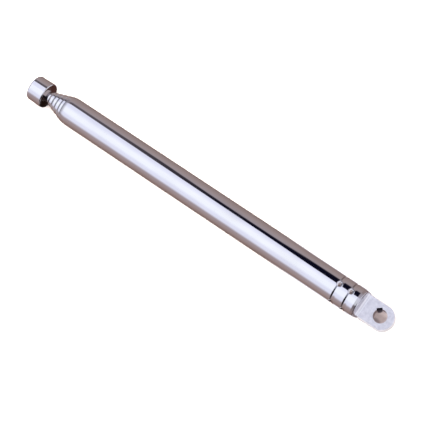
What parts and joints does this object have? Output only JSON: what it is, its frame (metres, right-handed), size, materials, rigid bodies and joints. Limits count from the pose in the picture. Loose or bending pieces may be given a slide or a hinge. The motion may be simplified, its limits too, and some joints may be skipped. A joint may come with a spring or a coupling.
{
  "type": "telescopic rod aerial",
  "caption": "Chromed telescopic rod aerial, pushed in, with a stepped neck, a turned tip knob and a flat mounting tab with a keyed screw hole.",
  "frame": {"origin": "centre of the mounting hole, half way through the tab", "axes": "+X along the rod from the mounting hole to the knob, the way the sections slide out; +Z along the axis of the hole, square to the tab's flat faces"},
  "size_m": [0.1038, 0.007, 0.007],
  "materials": {
    "chrome_outer_tube": "mirror chrome plate with fine drawing lines along the tube",
    "chrome_sections": "mirror chrome plate, rubbed along its length by sliding",
    "chrome_knob": "turned and chrome plated",
    "satin_plug": "satin, milled and tumbled",
    "brass_feet": "bare turned brass",
    "brass_shims": "bare rolled spring brass"
  },
  "bodies": {
    "outer_section": {"outer_tube": "chrome_outer_tube", "base_plug": "satin_plug"},
    "section_2": {"section_2_tube": "chrome_sections", "section_2_foot": "brass_feet", "section_2_shim_upper": "brass_shims", "section_2_shim_lower": "brass_shims"},
    "section_3": {"section_3_tube": "chrome_sections", "section_3_foot": "brass_feet", "section_3_shim_upper": "brass_shims", "section_3_shim_lower": "brass_shims"},
    "section_4": {"section_4_tube": "chrome_sections", "section_4_foot": "brass_feet", "section_4_shim_upper": "brass_shims", "section_4_shim_lower": "brass_shims"},
    "section_5": {"section_5_tube": "chrome_sections", "section_5_foot": "brass_feet", "section_5_shim_upper": "brass_shims", "section_5_shim_lower": "brass_shims"},
    "tip_section": {"tip_rod": "chrome_sections", "tip_rod_foot": "brass_feet", "tip_rod_shim_upper": "brass_shims", "tip_rod_shim_lower": "brass_shims", "tip_knob": "chrome_knob"}
  },
  "joints": [
    {"name": "section_2_slide", "type": "slide", "parent": "outer_section", "child": "section_2", "axis": [1, 0, 0], "range_m": [0, 0.0673]},
    {"name": "section_3_slide", "type": "slide", "parent": "section_2", "child": "section_3", "axis": [1, 0, 0], "range_m": [0, 0.0673]},
    {"name": "section_4_slide", "type": "slide", "parent": "section_3", "child": "section_4", "axis": [1, 0, 0], "range_m": [0, 0.0673]},
    {"name": "section_5_slide", "type": "slide", "parent": "section_4", "child": "section_5", "axis": [1, 0, 0], "range_m": [0, 0.0673]},
    {"name": "tip_slide", "type": "slide", "parent": "section_5", "child": "tip_section", "axis": [1, 0, 0], "range_m": [0, 0.0673]}
  ]
}
